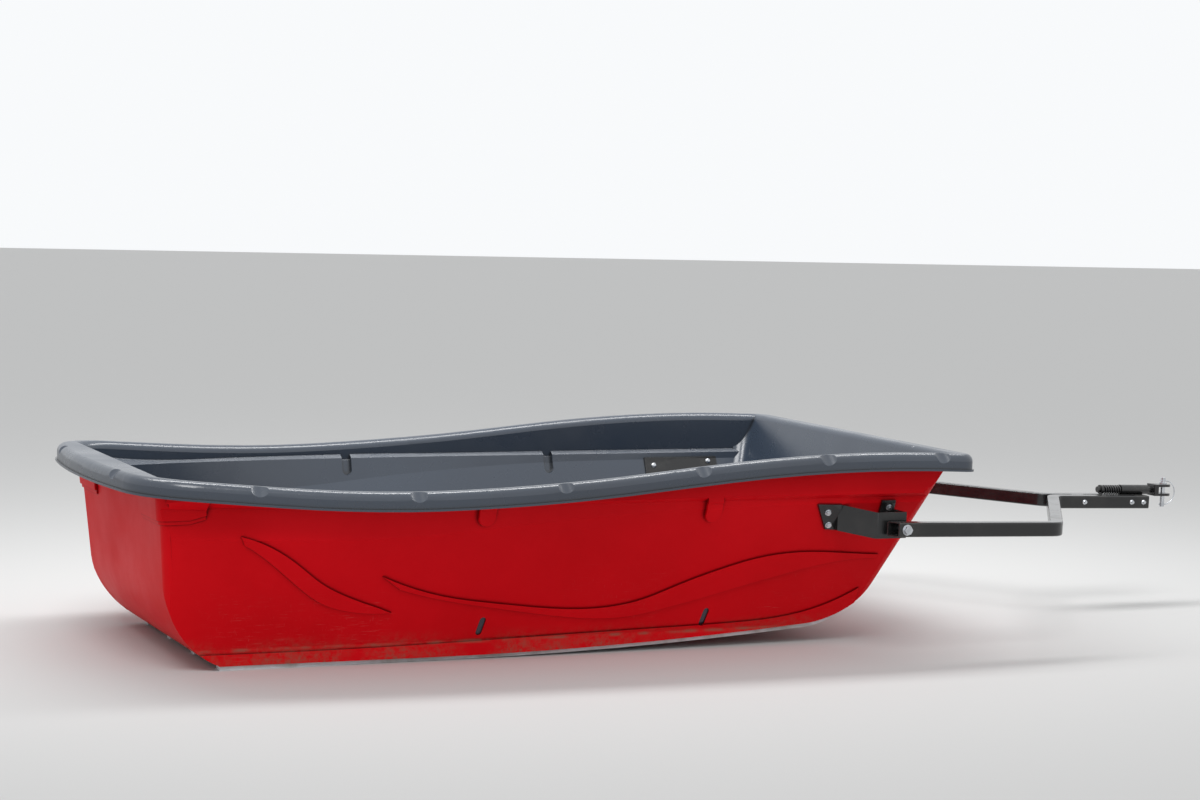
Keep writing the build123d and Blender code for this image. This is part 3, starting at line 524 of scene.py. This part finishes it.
@dataclass
class Stage:
    """The plain pale floor, the soft light and the camera."""

    floor_size: float = 60.0
    floor_colour: Colour = (0.60, 0.60, 0.595)
    floor_roughness: float = 0.9
    floor_gloss: float = 0.1
    backdrop: float = 0.97
    backdrop_colour: Colour = (0.97, 0.985, 1.0)
    sky: float = 0.58
    key_strength: float = 1.1
    key_degrees: float = 28.0
    key_from: Triple = (-0.35, -0.62, 1.0)
    strip_size: tuple[float, float] = (4.2, 0.5)
    strip_place: Triple = (-0.2, 0.5, 2.3)
    strip_watts: float = 60.0
    lens_mm: float = 78.0
    sensor_mm: float = 36.0
    camera_mm: Triple = (-1388.9, -5876.6, 1105.6)
    camera_degrees: Triple = (85.278, -1.757, -24.570)
    camera_reach: float = 200.0

    def build(self) -> None:
        """Make the whole stage."""
        self.lay_floor()
        self.light_world()
        self.hang_lamps()
        self.aim_camera()

    @staticmethod
    def put(name: str, data: bpy.types.ID) -> bpy.types.Object:
        """Return a new object in the scene that shows a mesh, a light or a camera."""
        obj = bpy.data.objects.new(name, data)
        bpy.context.scene.collection.objects.link(obj)
        return obj

    def lay_floor(self) -> None:
        """Lay the floor under the sled."""
        half = self.floor_size / 2.0
        corners = [(-half, -half, 0), (half, -half, 0), (half, half, 0), (-half, half, 0)]
        mesh = bpy.data.meshes.new("floor")
        mesh.from_pydata(corners, [], [(0, 1, 2, 3)])
        floor = self.put("floor", mesh)
        graph = Graph("floor")
        graph.fixed(Base_Color=(*self.floor_colour, 1.0), Roughness=self.floor_roughness,
                    Specular_IOR_Level=self.floor_gloss)
        mesh.materials.append(graph.material)

    @staticmethod
    def either(tree: bpy.types.NodeTree, first: Socket, second: Socket) -> Socket:
        """Return the greater of two values."""
        node = tree.nodes.new("ShaderNodeMath")
        node.operation = "MAXIMUM"
        tree.links.new(first, node.inputs[0])
        tree.links.new(second, node.inputs[1])
        return node.outputs[0]

    def light_world(self) -> None:
        """Light the scene evenly and show a white backdrop to the camera, in gloss and through glass."""
        world = bpy.data.worlds.new("studio")
        bpy.context.scene.world = world
        world.use_nodes = True
        tree = world.node_tree
        tree.nodes.clear()
        paths = tree.nodes.new("ShaderNodeLightPath").outputs
        seen = self.either(tree, paths["Is Camera Ray"], paths["Is Glossy Ray"])
        seen = self.either(tree, seen, paths["Is Transmission Ray"])
        level = tree.nodes.new("ShaderNodeMapRange")
        level.inputs["To Min"].default_value = self.sky
        level.inputs["To Max"].default_value = self.backdrop
        tree.links.new(seen, level.inputs["Value"])
        background = tree.nodes.new("ShaderNodeBackground")
        background.inputs["Color"].default_value = (*self.backdrop_colour, 1.0)
        tree.links.new(level.outputs["Result"], background.inputs["Strength"])
        output = tree.nodes.new("ShaderNodeOutputWorld")
        tree.links.new(background.outputs["Background"], output.inputs["Surface"])

    def hang_lamps(self) -> None:
        """Hang a broad soft key lamp and a long soft panel over the sled."""
        strip = bpy.data.lights.new("strip", "AREA")
        strip.shape = "RECTANGLE"
        strip.size, strip.size_y = self.strip_size
        strip.energy = self.strip_watts
        self.put("strip", strip).location = self.strip_place
        key = bpy.data.lights.new("key", "SUN")
        key.energy = self.key_strength
        key.angle = math.radians(self.key_degrees)
        self.put("key", key).rotation_euler = Vector(self.key_from).to_track_quat("Z", "Y").to_euler()

    def aim_camera(self) -> None:
        """Set the camera at the photograph's viewing angle."""
        camera = bpy.data.cameras.new("camera")
        camera.lens = self.lens_mm
        camera.sensor_width = self.sensor_mm
        camera.clip_end = self.camera_reach
        holder = self.put("camera", camera)
        holder.location = hull_point(*self.camera_mm)
        holder.rotation_euler = Euler([math.radians(angle) for angle in self.camera_degrees])
        bpy.context.scene.camera = holder


def main() -> None:
    """Load the frame, dress it and build the stage."""
    logging.basicConfig(level=logging.INFO, format="%(message)s")
    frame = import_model()
    bpy.context.scene.view_settings.view_transform = "Standard"
    dresser = Dresser(frame)
    dresser.prepare()
    dresser.dress_nodes()
    Stage().build()


if __name__ == "__main__":
    main()
